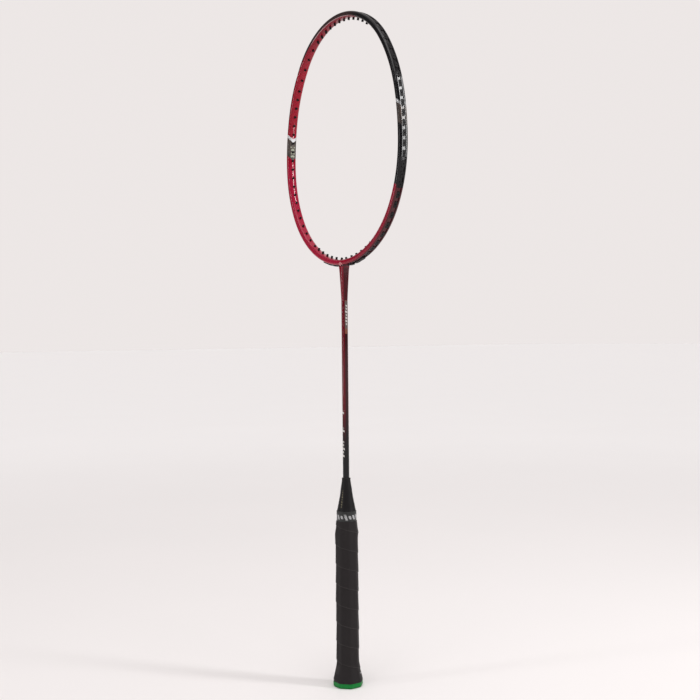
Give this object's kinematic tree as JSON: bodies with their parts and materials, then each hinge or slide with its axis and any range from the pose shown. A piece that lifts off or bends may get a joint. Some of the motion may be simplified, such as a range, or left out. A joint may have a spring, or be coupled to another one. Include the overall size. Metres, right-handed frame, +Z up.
{
  "type": "badminton racket",
  "caption": "Unstrung badminton racket: oval hollow carbon head and slim shaft in red and black lacquer, on a black taped handle with a green butt cap.",
  "frame": {"origin": "centre of the butt cap's flat bottom face", "axes": "+Z up the handle and the shaft to the top of the head; X across the head; Y square to the face of the head"},
  "size_m": [0.2026, 0.0286, 0.675],
  "materials": {
    "head_lacquer": "clear-coated crimson and black lacquer over carbon",
    "bare_carbon": "bare moulded carbon",
    "shaft_lacquer": "clear-coated lacquer fading from crimson to black",
    "cone_plastic": "satin black moulding",
    "band_tape": "printed adhesive tape",
    "grip_tape": "matte polyurethane grip",
    "handle_wood": "bare",
    "butt_plastic": "satin green moulding",
    "grommet_nylon": "black nylon",
    "staple_wire": "drawn wire"
  },
  "bodies": {
    "root": {"head_frame": "head_lacquer", "t_joint": "bare_carbon", "shaft": "shaft_lacquer", "cone_cap": "cone_plastic", "finishing_band": "band_tape", "grip_tape": "grip_tape", "handle_core": "handle_wood", "butt_cap": "butt_plastic", "grip_tack": "staple_wire", "grommets_crown_left": "grommet_nylon", "grommets_crown_right": "grommet_nylon", "grommets_shoulder_left": "grommet_nylon", "grommets_shoulder_right": "grommet_nylon", "grommets_upper_side_left": "grommet_nylon", "grommets_upper_side_right": "grommet_nylon", "grommets_lower_side_left": "grommet_nylon", "grommets_lower_side_right": "grommet_nylon", "grommets_corner_left": "grommet_nylon", "grommets_corner_right": "grommet_nylon", "grommets_lower_left": "grommet_nylon", "grommets_lower_right": "grommet_nylon", "grommet_strip_left": "grommet_nylon", "grommet_strip_right": "grommet_nylon", "grommet_throat_left": "grommet_nylon", "grommet_throat_right": "grommet_nylon"}
  },
  "joints": []
}
